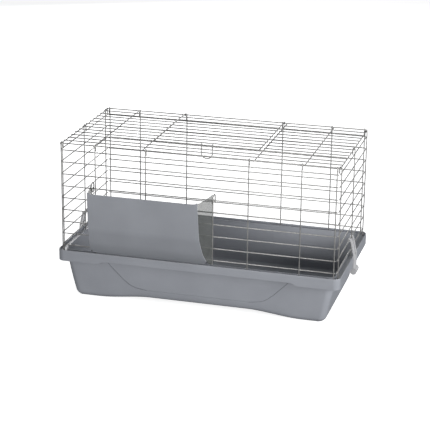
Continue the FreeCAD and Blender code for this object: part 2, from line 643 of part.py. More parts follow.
def side_clip(word, end):
    """A plastic clip: eyes on the eighth crosswire, window, and a round bar that hooks under the rim.

    Its sketch is seen from the front of a right-hand clip: local X is outwards from the
    crosswire's middle and local Z is upwards from it.
    """
    body = new_body(f"clip_{word}_body")
    drop = f"({crosswire_height(CLIP_CROSSWIRE)} - Sizes.rim_foot)"
    gap = f"(Sizes.rim_reach_x - Sizes.half_length - {WALL_OUT} + 0.5)"
    arm = new_sketch(body, "XZ", f"clip_{word}_arm")
    polygon(arm, (
        ("2.2", "3.6"), ("5.5", "3.9"), ("8.6", "-8"), (f"{gap} + 3.4", "-44"),
        (f"{gap} + 4.5", f"-{drop} - 6"), (f"{gap} - 2", f"-{drop} - 9"), (gap, f"-{drop} - 3.2"),
        (gap, "-45"), ("5.2", "-9"), ("3", "-3"),
    ))
    pad(body, arm, "Sizes.clip_width", symmetric=True)
    bar = new_sketch(body, "XZ", f"clip_{word}_bar")
    round_outline(bar, "Sizes.clip_bar", (f"{gap} + 2", f"-{drop} - Sizes.clip_bar - 1.7"))
    pad(body, bar, "Sizes.clip_width", symmetric=True)
    eye = new_sketch(body, "XZ", f"clip_{word}_eye")
    round_outline(eye, "Sizes.clip_eye")
    pad(body, eye, "Sizes.clip_width", symmetric=True)
    bore = new_sketch(body, "XZ", f"clip_{word}_bore")
    round_outline(bore, "Sizes.wire_radius + Sizes.clip_play")
    pocket(body, bore, "Sizes.clip_width + 2", symmetric=True)
    mouth = new_sketch(body, "XZ", f"clip_{word}_mouth")
    polygon(mouth, (("-6", "-1.2"), ("0", "-1.2"), ("0", "1.2"), ("-6", "1.2")))
    pocket(body, mouth, "Sizes.clip_width + 2", symmetric=True)
    window = new_sketch(body, "YZ", f"clip_{word}_window")
    half = "Sizes.clip_window / 2"
    polygon(window, ((f"-{half}", "-46"), (half, "-46"), (half, "8"), (f"-{half}", "8")))
    pocket(body, window, "120", symmetric=True)
    position = (f"{end} * (Sizes.half_length + {WALL_OUT})", "0", crosswire_height(CLIP_CROSSWIRE))
    node(f"clip_{word}", [place(body, position, FreeCAD.Rotation(UP, 0 if end > 0 else 180))])


def check_and_write():
    """Stop on any failed object, then write each sub-part."""
    document.recompute()
    for item in document.Objects:
        if "Invalid" in item.State or "Error" in item.State:
            raise RuntimeError(f"{item.Label} failed: {item.State}")
    os.makedirs("parts", exist_ok=True)
    for label, item in nodes.items():
        if item.Shape.isNull() or not item.Shape.isValid() or not item.Shape.Solids:
            raise RuntimeError(f"{label} has no valid shape")
        item.Shape.exportStep(f"parts/{label}.step")
        box = item.Shape.BoundBox
        print(f"{label}: {len(item.Shape.Solids)} solids, {item.Shape.Volume / 1000:.1f} cm3, "
              f"X {box.XMin:.1f}..{box.XMax:.1f}, Y {box.YMin:.1f}..{box.YMax:.1f}, "
              f"Z {box.ZMin:.1f}..{box.ZMax:.1f}")


tray_shell()
long_wall("front", -1)
long_wall("rear", 1)
short_wall("left", -1)
short_wall("right", 1)
roof()
roof_door()
door_loop()
rack_face()
rack_rings()
for side_word, side_end in (("left", -1), ("right", 1)):
    rack_end_plate(side_word, side_end)
    rack_hook(side_word, side_end)
    side_clip(side_word, side_end)
check_and_write()
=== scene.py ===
"""Looks of the wire rabbit cage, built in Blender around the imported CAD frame. Metres, row frame."""

import json
import math

import bmesh
import bpy
from mathutils import Matrix, Vector


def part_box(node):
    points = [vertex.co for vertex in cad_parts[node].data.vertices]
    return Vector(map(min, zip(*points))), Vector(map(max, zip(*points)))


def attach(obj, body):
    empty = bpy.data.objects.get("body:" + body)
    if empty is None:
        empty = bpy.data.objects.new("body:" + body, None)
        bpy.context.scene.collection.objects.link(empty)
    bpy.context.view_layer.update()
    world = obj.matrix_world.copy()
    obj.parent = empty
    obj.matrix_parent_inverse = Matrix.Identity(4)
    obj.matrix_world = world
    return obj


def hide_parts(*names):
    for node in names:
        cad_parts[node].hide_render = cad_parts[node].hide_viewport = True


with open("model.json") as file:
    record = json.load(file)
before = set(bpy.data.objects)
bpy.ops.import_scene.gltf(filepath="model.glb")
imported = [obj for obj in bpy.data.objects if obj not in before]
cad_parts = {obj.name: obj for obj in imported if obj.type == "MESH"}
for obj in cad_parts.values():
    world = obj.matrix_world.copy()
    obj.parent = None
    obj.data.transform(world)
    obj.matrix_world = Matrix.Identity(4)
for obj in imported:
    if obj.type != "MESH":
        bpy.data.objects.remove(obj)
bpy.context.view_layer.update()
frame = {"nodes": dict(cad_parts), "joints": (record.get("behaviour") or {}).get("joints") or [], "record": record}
scene = bpy.context.scene
MM = 0.001

# ---- Where things are, read from the frame ----
tray_low, tray_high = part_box("tray_shell")
MIDDLE = (tray_low.y + tray_high.y) / 2
JOINTS = {joint["name"]: joint for joint in frame["joints"]}
SLOTS = {entry["node"]: entry["material_slot"] for entry in frame["record"]["subparts"]}


# ---- Materials ----

def new_material(name):
    material = bpy.data.materials.new(name)
    material.use_nodes = True
    tree = material.node_tree
    return material, tree, tree.nodes["Principled BSDF"]


def add_node(tree, kind, **values):
    """A shader node, with its input values or properties set."""
    made = tree.nodes.new(kind)
    for key, value in values.items():
        if key in made.inputs:
            made.inputs[key].default_value = value
        else:
            setattr(made, key, value)
    return made


def noise(tree, scale, detail=3.0, roughness=0.55):
    """Noise in object space."""
    place = add_node(tree, "ShaderNodeTexCoord")
    made = add_node(tree, "ShaderNodeTexNoise", Scale=scale, Detail=detail, Roughness=roughness)
    tree.links.new(place.outputs["Object"], made.inputs["Vector"])
    return made.outputs["Fac"]


def ramp(tree, source, *stops):
    """A colour ramp over a value; each stop is a position and a colour or a grey value."""
    made = tree.nodes.new("ShaderNodeValToRGB")
    tree.links.new(source, made.inputs["Fac"])
    elements = made.color_ramp.elements
    while len(elements) < len(stops):
        elements.new(0.5)
    for element, (position, value) in zip(elements, stops):
        element.position = position
        element.color = (*value, 1) if isinstance(value, tuple) else (value, value, value, 1)
    return made.outputs["Color"]


def bump(tree, shader, source, strength, distance, under=None):
    """Raise the surface by a value, on top of another bump if there is one."""
    made = add_node(tree, "ShaderNodeBump", Strength=strength, Distance=distance)
    tree.links.new(source, made.inputs["Height"])
    if under:
        tree.links.new(under, made.inputs["Normal"])
    tree.links.new(made.outputs["Normal"], shader.inputs["Normal"])
    return made.outputs["Normal"]


def moulded_plastic(name, colour, rough):
    """Injection-moulded plastic: cloudy colour, uneven sheen, fine grain, slow waves."""
    material, tree, shader = new_material(name)
    cloud = noise(tree, scale=9.0, detail=4.0, roughness=0.6)
    darker = tuple(channel * 0.95 for channel in colour)
    lighter = tuple(channel * 1.05 for channel in colour)
    tree.links.new(ramp(tree, cloud, (0.3, darker), (0.7, lighter)), shader.inputs["Base Color"])
    tree.links.new(ramp(tree, cloud, (0.3, rough - 0.05), (0.7, rough + 0.06)), shader.inputs["Roughness"])
    slow, fine = noise(tree, scale=7.0, detail=1.0), noise(tree, scale=1500.0, detail=2.0)
    waves = bump(tree, shader, slow, strength=0.12, distance=2.0 * MM)
    bump(tree, shader, fine, strength=0.25, distance=0.15 * MM, under=waves)
    return material


def zinc_wire(name):
    """Dull zinc-plated wire: part bright metal, part oxide bloom, with a faint grain."""
    material, tree, shader = new_material(name)
    spangle = noise(tree, scale=90.0, detail=4.0, roughness=0.65)
    dull, middling, bright = (0.28, 0.277, 0.268), (0.385, 0.38, 0.37), (0.50, 0.495, 0.485)
    colours = ramp(tree, spangle, (0.30, dull), (0.55, middling), (0.78, bright))
    tree.links.new(colours, shader.inputs["Base Color"])
    tree.links.new(ramp(tree, spangle, (0.3, 0.48), (0.7, 0.32)), shader.inputs["Roughness"])
    bloom = noise(tree, scale=25.0)
    tree.links.new(ramp(tree, bloom, (0.35, 0.55), (0.7, 0.75)), shader.inputs["Metallic"])
    bump(tree, shader, noise(tree, scale=700.0, detail=2.0), strength=0.15, distance=0.1 * MM)
    return material


def smoked_plastic(name):
    """Smoked clear plastic: half see-through, glossy, a little hazy."""
    material, tree, shader = new_material(name)
    haze = noise(tree, scale=30.0)
    colours = ramp(tree, haze, (0.3, (0.10, 0.105, 0.10)), (0.7, (0.14, 0.146, 0.14)))
    tree.links.new(colours, shader.inputs["Base Color"])
    tree.links.new(ramp(tree, haze, (0.3, 0.16), (0.7, 0.24)), shader.inputs["Roughness"])
    bump(tree, shader, noise(tree, scale=14.0, detail=1.0), strength=0.1, distance=1.0 * MM)
    shader.inputs["Alpha"].default_value = 0.5
    return material


LOOKS = {
    "tray_plastic": moulded_plastic("tray_plastic_look", (0.240, 0.250, 0.275), 0.44),
    "rack_plastic": moulded_plastic("rack_plastic_look", (0.245, 0.255, 0.278), 0.40),
    # Dark plastic for the thin beads along the front panel's curved sides: a painted shadow standing in for the
    # shade at the panel's edge
    "tray_painted_shadow": moulded_plastic("tray_groove_look", (0.085, 0.09, 0.10), 0.6),
    "clip_plastic": moulded_plastic("clip_plastic_look", (0.42, 0.42, 0.43), 0.38),
    "zinc_wire": zinc_wire("zinc_wire_look"),
    "smoked_plastic": smoked_plastic("smoked_plastic_look"),
}
for name, slot in SLOTS.items():
    materials = frame["nodes"][name].data.materials
    materials.clear()
    materials.append(LOOKS[slot])


# ---- Mesh helpers ----

SAME_POINT = 0.002 * MM
CHAMFER_LENGTH, CHAMFER_WIDTH = 0.25, 0.78  # shares of a wire's radius


def piece(name, vertices, faces, body, slot, replaced=(), look=None):
    """A mesh object in the row frame that rides on a body and may stand for CAD nodes."""
    mesh = bpy.data.meshes.new(name)
    mesh.from_pydata(vertices, [], faces)
    mesh.update()
    form = bmesh.new()
    form.from_mesh(mesh)
    bmesh.ops.recalc_face_normals(form, faces=form.faces)
    form.to_mesh(mesh)
    form.free()
    for polygon in mesh.polygons:
        polygon.use_smooth = True
    mesh.materials.append(LOOKS[look or slot])
    made = bpy.data.objects.new(name, mesh)
    scene.collection.objects.link(made)
    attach(made, body)
    if replaced:
        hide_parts(*replaced)
    return made


def loose_boxes(name):
    """The box of each separate solid of a CAD node, lowest first along X, then Y, then Z."""
    form = bmesh.new()
    form.from_mesh(frame["nodes"][name].data)
    bmesh.ops.remove_doubles(form, verts=form.verts, dist=SAME_POINT)
    seen = set()
    boxes = []
    for start in form.verts:
        if start in seen:
            continue
        seen.add(start)
        reached = [start]
        for vertex in reached:
            for edge in vertex.link_edges:
                other = edge.other_vert(vertex)
                if other not in seen:
                    seen.add(other)
                    reached.append(other)
        low = Vector([min(vertex.co[axis] for vertex in reached) for axis in range(3)])
        high = Vector([max(vertex.co[axis] for vertex in reached) for axis in range(3)])
        boxes.append((low, high))
    form.free()
    return sorted(boxes, key=lambda box: tuple(round(value, 4) for value in box[0]))


class Mesh:
    """Vertices and faces gathered from several shapes."""

    def __init__(self):
        self.vertices = []
        self.faces = []

    def rings(self, rings, closed=False, caps=True):
        """Join rings of equal length with quads, and close the ends."""
        first = len(self.vertices)
        count = len(rings[0])
        for ring in rings:
            self.vertices.extend(ring)
        pairs = len(rings) if closed else len(rings) - 1
        for row in range(pairs):
            low = first + row * count
            high = first + (row + 1) % len(rings) * count
            for column in range(count):
                after = (column + 1) % count
                self.faces.append((low + column, low + after, high + after, high + column))
        if caps and not closed:
            self.faces.append(tuple(range(first + count - 1, first - 1, -1)))
            last = first + (len(rings) - 1) * count
            self.faces.append(tuple(range(last, last + count)))

    def tube(self, points, radius, closed=False, sides=12):
        """A round wire through points, with chamfered ends."""
        points = [Vector(point) for point in points]
        if not closed:
            start = (points[1] - points[0]).normalized()
            end = (points[-1] - points[-2]).normalized()
            points.insert(1, points[0] + start * radius * CHAMFER_LENGTH)
            points.insert(-1, points[-1] - end * radius * CHAMFER_LENGTH)
        count = len(points)
        rings = []
        across = None
        for index, point in enumerate(points):
            before = points[index - 1] if closed or index else point
            after = points[(index + 1) % count] if closed or index < count - 1 else point
            along = (after - before).normalized()
            if across is None:
                across = along.orthogonal().normalized()
            across = (across - along * across.dot(along)).normalized()
            other = along.cross(across)
            at_end = not closed and index in (0, count - 1)
            size = radius * (CHAMFER_WIDTH if at_end else 1.0)
            ring = []
            for step in range(sides):
                angle = 2 * math.pi * step / sides
                ring.append(point + (across * math.cos(angle) + other * math.sin(angle)) * size)
            rings.append(ring)
        self.rings(rings, closed)

    def ball(self, centre, radii, rows=4, columns=8):
        """An ellipsoid, for a weld's bead."""
        rings = []
        for row in range(1, rows):
            tilt = math.pi * row / rows
            ring = []
            for column in range(columns):
                turn = 2 * math.pi * column / columns
                unit = (math.sin(tilt) * math.cos(turn), math.sin(tilt) * math.sin(turn), math.cos(tilt))
                ring.append(centre + Vector([size * value for size, value in zip(radii, unit)]))
            rings.append(ring)
        self.rings(rings)


def arc(centre, radius, start, turn, first, second, steps=12):
    """Points on an arc, from an angle, in the plane of two directions."""
    first, second = Vector(first), Vector(second)
    points = []
    for step in range(steps + 1):
        angle = math.radians(start + turn * step / steps)
        points.append(Vector(centre) + (first * math.cos(angle) + second * math.sin(angle)) * radius)
    return points


def spline(points, steps=6):
    """A smooth line through points (Catmull-Rom)."""
    points = [Vector(point) for point in points]
    padded = [2 * points[0] - points[1]] + points + [2 * points[-1] - points[-2]]
    line = []
    for index in range(1, len(padded) - 2):
        before, start, end, after = padded[index - 1:index + 3]
        for step in range(steps):
            share = step / steps
            square, cube = share * share, share ** 3
            line.append(0.5 * (2 * start + (end - before) * share
                               + (2 * before - 5 * start + 4 * end - after) * square
                               + (3 * start - before - 3 * end + after) * cube))
    return line + [points[-1]]


def smooth_step(low, high, value):
    """From 0 at low to 1 at high, level at both."""
    share = min(1.0, max(0.0, (value - low) / (high - low)))
    return share * share * (3 - 2 * share)


def inset_ring(line, centre, shrink):
    """A closed flat line, moved a little towards the side where a centre lies."""
    ring = []
    for index, point in enumerate(line):
        tangent = line[(index + 1) % len(line)] - line[index - 1]
        inward = Vector((-tangent.y, tangent.x)).normalized()
        if inward.dot(centre - point) < 0:
            inward.negate()
        ring.append(point + inward * shrink)
    return ring


def even_normals(made):
    """Keep flat faces flat beside their small rounded edges."""
    modifier = made.modifiers.new("even_normals", "WEIGHTED_NORMAL")
    modifier.keep_sharp = True
    modifier.weight = 80


def soft_edges(made, width, angle):
    """Round the edges that turn by more than an angle in degrees."""
    modifier = made.modifiers.new("soft_edges", "BEVEL")
    modifier.width = width
    modifier.segments = 3
    modifier.limit_method = "ANGLE"
    modifier.angle_limit = math.radians(angle)
    even_normals(made)


# ---- Wires ----

X_AXIS, Y_AXIS, Z_AXIS = Vector((1, 0, 0)), Vector((0, 1, 0)), Vector((0, 0, 1))
BEAD_WIDE, BEAD_THIN = 1.9 * MM, 1.3 * MM
UPRIGHT_TAIL = 16 * MM
LOOP_WIRE, LOOP_REACH = 1.5 * MM, 16 * MM
RACK_TAIL = 17 * MM


def rod_line(box):
    """Both ends and the radius of a straight wire, from its box."""
    low, high = box
    extent = high - low
    along = max(range(3), key=lambda axis: extent[axis])
    others = [axis for axis in range(3) if axis != along]
    radius = max(extent[axis] for axis in others) / 2
    start, end = (low + high) / 2, (low + high) / 2
    start[along], end[along] = low[along], high[along]
    return start, end, radius


def rods(name, mesh):
    """Rebuild a node's straight wires, and return their lines."""
    lines = [rod_line(box) for box in loose_boxes(name)]
    for start, end, radius in lines:
        mesh.tube((start, end), radius)
    return lines


def weld_beads(mesh, lines, others):
    """A small bead wherever two sets of straight wires cross."""
    for start, end, radius in lines:
        along = (end - start).normalized()
        for other_start, other_end, other_radius in others:
            other_along = (other_end - other_start).normalized()
            normal = along.cross(other_along)
            if normal.length < 0.5:
                continue
            gap = abs((other_start - start).dot(normal))
            if gap > radius + other_radius:
                continue
            place = (other_start - start).dot(along)
            other_place = (start - other_start).dot(other_along)
            inside = -radius < place < (end - start).length + radius
            other_inside = -radius < other_place < (other_end - other_start).length + radius
            if not inside or not other_inside:
                continue
            centre = (start + along * place + other_start + other_along * other_place) / 2
            size = Vector([BEAD_WIDE] * 3)
            thin = max(range(3), key=lambda axis: abs(normal[axis]))
            size[thin] = BEAD_THIN
            mesh.ball(centre, size)


def hooked_uprights(name, outward, mesh):
    """Rebuild a wall's uprights: a leg outside, bent over the roof's edge wire."""
    lines = []
    axis = 0 if abs(outward.x) > 0.5 else 1
    for low, high in loose_boxes(name):
        across = 1 - axis
        radius = (high[across] - low[across]) / 2
        bend_radius = (high[axis] - low[axis]) / 2 - radius
        centre = (low + high) / 2
        centre.z = high.z - bend_radius - radius
        outer = centre + outward * bend_radius
        inner = centre - outward * bend_radius
        foot = Vector((outer.x, outer.y, low.z))
        points = [foot] + arc(centre, bend_radius, 0, 180, outward, Z_AXIS) + [inner - Z_AXIS * UPRIGHT_TAIL]
        mesh.tube(points, radius)
        lines.append((foot, outer, radius))
    return lines


def drawn_wire(node_name, mesh, body):
    """The piece that stands for a wire node."""
    piece(f"{node_name}_drawn", mesh.vertices, mesh.faces, body, "zinc_wire", (node_name,))


WALLS = (("front", -Y_AXIS), ("rear", Y_AXIS), ("left", -X_AXIS), ("right", X_AXIS))


def build_walls():
    for word, outward in WALLS:
        crosswires, uprights = Mesh(), Mesh()
        lines = rods(f"{word}_crosswires", crosswires)
        legs = hooked_uprights(f"{word}_uprights", outward, uprights)
        weld_beads(crosswires, lines, legs)
        drawn_wire(f"{word}_crosswires", crosswires, "cage")
        drawn_wire(f"{word}_uprights", uprights, "cage")


def build_roof():
    crosswires, long_wires = Mesh(), Mesh()
    lines = rods("roof_crosswires", crosswires)
    others = rods("roof_long_wires", long_wires)
    weld_beads(crosswires, lines, others)
    drawn_wire("roof_crosswires", crosswires, "cage")
    drawn_wire("roof_long_wires", long_wires, "cage")


def build_door():
    """The roof door's wires; each side wire ends in an eye round the roof's rear wire."""
    hinge = Vector(JOINTS["roof_door_hinge"]["pos_m"])
    crosswires = Mesh()
    lines = rods("door_crosswires", crosswires)
    front = Mesh()
    lines += rods("door_front_wire", front)
    sides = []
    for word in ("left", "right"):
        low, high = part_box(f"door_side_wire_{word}")
        radius = (high.x - low.x) / 2
        across = (low.x + high.x) / 2
        height = high.z - radius
        tip = Vector((across, low.y, height))
        centre = Vector((across, hinge.y, hinge.z))
        mesh = Mesh()
        mesh.tube([tip] + arc(centre, height - hinge.z, 0, 290, Z_AXIS, Y_AXIS, 20), radius)
        drawn_wire(f"door_side_wire_{word}", mesh, "roof_door")
        sides.append((tip, Vector((across, hinge.y, height)), radius))
    weld_beads(crosswires, lines, sides)
    drawn_wire("door_crosswires", crosswires, "roof_door")
    drawn_wire("door_front_wire", front, "roof_door")


def build_door_loop():
    """The loop that hangs from the door's front wire: two eyes, two legs and a round turn."""
    axis = Vector(JOINTS["door_loop_swing"]["pos_m"])
    low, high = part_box("door_loop")
    eye = (high.z - axis.z) - LOOP_WIRE
    turn_height = low.z + LOOP_WIRE + LOOP_REACH
    mesh = Mesh()
    for side in (-1, 1):
        centre = Vector((side * LOOP_REACH, axis.y, axis.z))
        mesh.tube(arc(centre, eye, 0, 345, Y_AXIS, Z_AXIS, 24)[:-1], LOOP_WIRE, closed=True)
    left = Vector((-LOOP_REACH, axis.y, axis.z - eye))
    right = Vector((LOOP_REACH, axis.y, axis.z - eye))
    turn = arc((0, axis.y, turn_height), LOOP_REACH, 180, 180, X_AXIS, Z_AXIS, 16)
    mesh.tube([left] + turn + [right], LOOP_WIRE)
    drawn_wire("door_loop", mesh, "door_loop")


def build_rack_wires():
    """The hay rack's two wire hooks and the rings that carry them."""
    for word in ("left", "right"):
        name = f"rack_hook_{word}"
        low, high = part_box(name)
        radius = (high.x - low.x) / 2
        bend_radius = (high.y - low.y) / 2 - radius
        centre = (low + high) / 2
        centre.z = high.z - bend_radius - radius
        foot = Vector((centre.x, centre.y - bend_radius, low.z))
        tail = Vector((centre.x, centre.y + bend_radius, centre.z - RACK_TAIL))
        mesh = Mesh()
        mesh.tube([foot] + arc(centre, bend_radius, 180, -180, Y_AXIS, Z_AXIS, 16) + [tail], radius)
        drawn_wire(name, mesh, "hay_rack")
    rings = Mesh()
    for low, high in loose_boxes("rack_rings"):
        wire = (high.x - low.x) / 2
        radius = (high.z - low.z) / 2 - wire
        rings.tube(arc((low + high) / 2, radius, 0, 345, Y_AXIS, Z_AXIS, 23), wire, closed=True)
    drawn_wire("rack_rings", rings, "hay_rack")


# ---- Tray ----

TUB_TOP = 143 * MM
TUB_CORNER = 20 * MM
WALL = 2.5 * MM
FLOOR_UNDER = 13 * MM
SEAT = 139.5 * MM
RIM_TOP = 145 * MM
RIM_CORNER = 20 * MM
RIM_REACH = Vector((tray_high.x, (tray_high.y - tray_low.y) / 2))
TUB_FOOT = Vector((366, 182)) * MM
TUB_RIM = Vector((394, 193)) * MM
TUB_ROUND = 16 * MM
SKIRT_ENDS, SKIRT_MIDDLE = 112 * MM, 120 * MM
STEP_OUT, STEP_IN = 287 * MM, 275 * MM
ARCH_OUT, ARCH_IN = 300 * MM, 140 * MM
TUB_BULGE = Vector((2.2, 1.0)) * MM
FLOOR_FILLET, LEAST_CORNER = 9 * MM, 2 * MM
FLAT_INSET = 26 * MM
FOOT_LEDGE = 0.6 * MM
LONG_STEPS = [value * MM for value in range(-300, 301, 12)]
SHORT_STEPS = [value * MM for value in range(-125, 126, 25)]


def skirt_edge(x):
    """The height of the skirt's lower edge, which steps up in the middle."""
    return SKIRT_MIDDLE + (SKIRT_ENDS - SKIRT_MIDDLE) * smooth_step(STEP_IN, STEP_OUT, abs(x))


def underside(x):
    """The height of the tub's lowest line: on the ground at the feet, raised in the middle."""
    return FLOOR_UNDER * (1 - smooth_step(ARCH_IN, ARCH_OUT, abs(x)))


def tub_reach(height):
    """How far the tub's outer wall stands from the middle along X and Y, with its bulge."""
    share = height / TUB_TOP
    return TUB_FOOT + (TUB_RIM - TUB_FOOT) * share + TUB_BULGE * (4 * share * (1 - share))


def outline(reach, corner, height):
    """A rounded rectangle round the tray's middle; height is a number or a function of X."""
    corner = max(corner, LEAST_CORNER)
    near = Vector((reach.x - corner, reach.y - corner))
    level = height if callable(height) else (lambda x: height)

    def run(steps, limit):
        inner = [step for step in steps if abs(step) < limit - 1 * MM]
        edge = steps[-1]
        extra = [edge + (limit - edge) * share for share in (0.35, 0.7)]
        return [-limit] + [-value for value in reversed(extra)] + inner + extra + [limit]

    along, across = run(LONG_STEPS, near.x), run(SHORT_STEPS, near.y)
    turns = [math.radians(90 * step / 8) for step in range(1, 8)]
    points = [(x, -reach.y) for x in along]
    points += [(near.x + corner * math.sin(t), -near.y - corner * math.cos(t)) for t in turns]
    points += [(reach.x, y) for y in across]
    points += [(near.x + corner * math.cos(t), near.y + corner * math.sin(t)) for t in turns]
    points += [(x, reach.y) for x in reversed(along)]
    points += [(-near.x - corner * math.sin(t), near.y + corner * math.cos(t)) for t in turns]
    points += [(-reach.x, y) for y in reversed(across)]
    points += [(-near.x - corner * math.cos(t), -near.y - corner * math.sin(t)) for t in turns]
    return [Vector((x, y + MIDDLE, level(x))) for x, y in points]


def build_tray():
    """One shell, ring by ring: floor, inner wall, lip, seat, rim, skirt, tub, feet, underside."""
    rings = []

    def tub(grow, height, base=None):
        level = height if base is None else (lambda x: base(x) + height)
        reach = tub_reach(height) + Vector((grow, grow))
        rings.append(outline(reach, TUB_CORNER + grow, level))

    def rim(shrink, height):
        reach = RIM_REACH - Vector((shrink, shrink))
        rings.append(outline(reach, RIM_CORNER - shrink, height))

    floor = FLOOR_UNDER + WALL
    tub(-WALL - FLAT_INSET, floor)
    for angle in (0, 22.5, 45, 67.5, 90):
        turn = math.radians(angle)
        tub(-WALL - FLOOR_FILLET * (1 - math.sin(turn)), floor + FLOOR_FILLET * (1 - math.cos(turn)))
    for height in (40, 65, 90, 115, 135):
        tub(-WALL, height * MM)
    lip = ((-WALL, 0.8), (-2.2 * MM, 0.25), (-1.25 * MM, 0.0), (-0.3 * MM, 0.25), (0.0, 0.8))
    for grow, drop in lip:
        tub(grow, TUB_TOP - drop * MM)
    for grow, rise in ((0.0, 1.2), (0.3 * MM, 0.35), (1.2 * MM, 0.0)):
        tub(grow, SEAT + rise * MM)
    for shrink, rise in ((WALL + 1.2 * MM, 0.0), (WALL + 0.3 * MM, 0.35), (WALL, 1.2)):
        rim(shrink, SEAT + rise * MM)
    for shrink, drop in ((WALL, 0.9), (WALL - 0.3 * MM, 0.25), (WALL / 2, 0.0), (0.5 * MM, 0.3), (0.0, 1.3)):
        rim(shrink, RIM_TOP - drop * MM)
    for height in (138, 130):
        rim(0.0, height * MM)
    for shrink, rise in ((0.0, 1.2), (0.3 * MM, 0.35), (WALL / 2, 0.0), (WALL - 0.3 * MM, 0.3), (WALL, 1.0)):
        rim(shrink, lambda x, rise=rise: skirt_edge(x) + rise * MM)
    for shrink, drop in ((WALL, 4.0), (WALL + 0.4 * MM, 2.9), (WALL + 1.5 * MM, 2.5)):
        rim(shrink, SEAT - drop * MM)
    for grow, drop in ((1.5 * MM, 2.5), (0.4 * MM, 2.9), (0.0, 4.0)):
        tub(grow, SEAT - drop * MM)
    for height in (125, 110, 95, 80, 65, 50, 36):
        tub(0.0, height * MM)
    for angle in (90, 75, 60, 45, 30, 15, 0):
        turn = math.radians(angle)
        tub(-TUB_ROUND * (1 - math.sin(turn)), TUB_ROUND * (1 - math.cos(turn)), underside)
    for grow, rise in ((-25 * MM, 0.0), (-25.6 * MM, 0.5)):
        tub(grow, rise * MM, underside)
    for grow in (-FLAT_INSET, -FLAT_INSET - 8 * MM):
        tub(grow, FLOOR_UNDER + FOOT_LEDGE)
    mesh = Mesh()
    mesh.rings(rings)
    made = piece("tray_moulding", mesh.vertices, mesh.faces, "cage", "tray_plastic", ("tray_shell",))
    even_normals(made)


# The panel's right side, from its foot up: out from the middle and height, in mm
PANEL_LINE = ((150, 41), (188, 48), (213, 64), (249, 99), (262, 113), (268, 121.5))
PANEL_CENTRE = Vector((0, 90 * MM))
# The painted shadow line's dark bead: its radius, and how far its centre stands out from the wall
DARK_LINE, DARK_LINE_OUT = 1.0 * MM, 0.15 * MM


def build_panel():
    """The raised panel on the tray's front, a thin plate with rounded edges."""
    right = [point * MM for point in spline(PANEL_LINE)]
    bottom = [Vector((x * MM, PANEL_LINE[0][1] * MM)) for x in range(-130, 131, 20)]
    left = [Vector((-point.x, point.y)) for point in reversed(right)]
    line = bottom + right + left
    rings = []
    for shrink, rise in ((0.0, -0.4), (0.0, 0.7), (0.35, 1.25), (1.0, 1.5), (2.2, 1.55)):
        moved = inset_ring(line, PANEL_CENTRE, shrink * MM)
        rings.append([Vector((x, MIDDLE - tub_reach(z).y - rise * MM, z)) for x, z in moved])
    mesh = Mesh()
    mesh.rings(rings)
    even_normals(piece("tray_front_panel", mesh.vertices, mesh.faces, "cage", "tray_plastic"))
    # Dark beads along the panel's curved sides, painted shadow for the shade at its edge
    for word, side in (("left", left), ("right", right)):
        build_dark_line(f"tray_groove_{word}", side)


def build_dark_line(name, line):
    """The painted shadow line along the panel's curved side: a thin dark bead, half sunk in the wall, standing in
    for the shade at the panel's edge.
    """
    mesh = Mesh()
    points = [Vector((x, MIDDLE - tub_reach(z).y - DARK_LINE_OUT, z)) for x, z in line]
    mesh.tube(points, DARK_LINE, sides=8)
    piece(name, mesh.vertices, mesh.faces, "cage", "tray_plastic", look="tray_painted_shadow")


# ---- Hay rack ----

hook_low, hook_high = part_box("rack_hook_right")
other_low, other_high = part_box("rack_hook_left")
RACK_RADIUS = (hook_high.x - hook_low.x) / 2
RACK_RIGHT, RACK_LEFT = (hook_low.x + hook_high.x) / 2, (other_low.x + other_high.x) / 2
RACK_MIDDLE, RACK_REACH = (RACK_RIGHT + RACK_LEFT) / 2, (RACK_RIGHT - RACK_LEFT) / 2
RACK_BACK = hook_low.y + RACK_RADIUS
face_low, face_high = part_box("rack_face")
RACK_TOP, RACK_FOOT = face_high.z, face_low.z
SPLAY = 0.22
SHEET = 2.5 * MM
RACK_CORNER, CORNER_INSET = 40 * MM, 2 * MM
FOLD_OUT, FOLD_RISE = 80 * MM, 113.5 * MM
FOOT_OUT = 4 * MM
# From the fold round to the foot: shares of the way out and of the way up
RACK_BEND = ((1, 1), (0.96, 0.84), (0.87, 0.68), (0.68, 0.41),
             (0.47, 0.22), (0.26, 0.09), (0.1, 0.02), (0, 0))
HORN_RISE, HORN_WIDTH, HORN_HEIGHT = 4.5 * MM, 11 * MM, 12 * MM
PLATE_BACK = 1.3 * MM
PLATE_CENTRE = Vector((30, 260)) * MM


def rack_profile():
    """The face's outer line from the rim to the wall: how far out from the hooks, and height."""
    top = Vector((RACK_BACK - face_low.y, RACK_TOP))
    fold = Vector((FOLD_OUT, RACK_FOOT + FOLD_RISE))
    foot = Vector((FOOT_OUT, RACK_FOOT))
    line = [top.lerp(fold, step / 12) for step in range(12)]
    bend = [foot + Vector(((fold - foot).x * out, (fold - foot).y * up)) for out, up in RACK_BEND]
    return line + spline(bend, 5)


def rack_half_width(out, height):
    """Half the face's width at a point of its profile, with round lower corners."""
    width = RACK_REACH - SPLAY * out
    rise = height - RACK_FOOT
    if rise < RACK_CORNER:
        cut = RACK_CORNER - math.sqrt(max(0.0, RACK_CORNER ** 2 - (RACK_CORNER - rise) ** 2))
        width = min(width, RACK_REACH - CORNER_INSET - cut)
    return width


